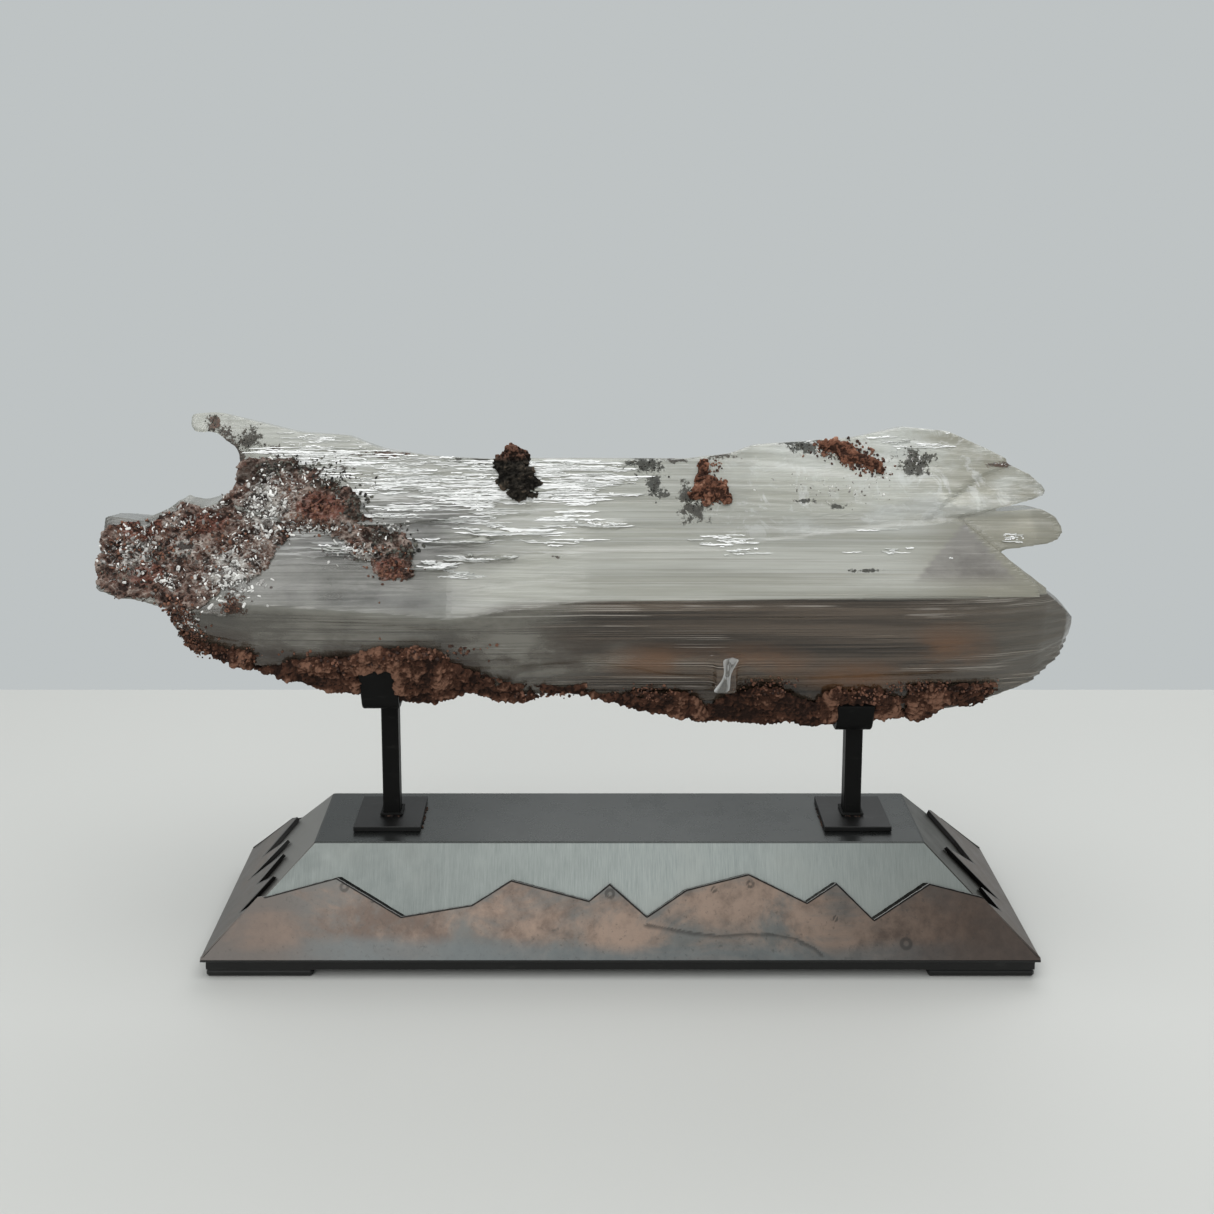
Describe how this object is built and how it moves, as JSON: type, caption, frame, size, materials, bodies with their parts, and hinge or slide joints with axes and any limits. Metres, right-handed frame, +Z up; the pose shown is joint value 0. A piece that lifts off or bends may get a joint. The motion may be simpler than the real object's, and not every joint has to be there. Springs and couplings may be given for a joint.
{
  "type": "selenite crystal on a stand",
  "caption": "Long milky selenite blade with a pointed end, a curved horn and clay crusts, lying in bent cradles on posts over a low sloping steel stand.",
  "frame": {"origin": "on the surface it stands on, under the middle of the whole object's outline", "axes": "+X along the crystal to its pointed end, +Y to the back, +Z up"},
  "size_m": [0.5363, 0.1222, 0.3006],
  "materials": {
    "black_steel": "satin black",
    "brushed_steel": "brushed, blue-green patina on the long sides, dark grey satin on top",
    "copper_cladding": "patinated brown copper, satin, fading to blue-grey at both ends",
    "selenite": "milky to clear with fine lines along its length, satin with bright flakes",
    "iron_clay": "rough red-brown clay with dark crumbs",
    "dark_clay": "rough brown and grey-green clay with small sparkling crystals"
  },
  "bodies": {
    "root": {"foot_pad_left": "black_steel", "foot_pad_right": "black_steel", "foot_board": "black_steel", "bottom_plate": "black_steel", "base_body": "brushed_steel", "cladding_front": "copper_cladding", "cladding_back": "copper_cladding", "cladding_left": "copper_cladding", "cladding_right": "copper_cladding", "mount_plate_left": "black_steel", "mount_plate_right": "black_steel", "post_left": "black_steel", "post_right": "black_steel", "post_weld_left": "black_steel", "post_weld_right": "black_steel", "cradle_left": "black_steel", "cradle_right": "black_steel", "crystal": "selenite", "underside_crust": "iron_clay", "end_crust": "dark_clay", "dark_clod": "dark_clay", "red_clod": "iron_clay", "shoulder_clod": "iron_clay"}
  },
  "joints": []
}
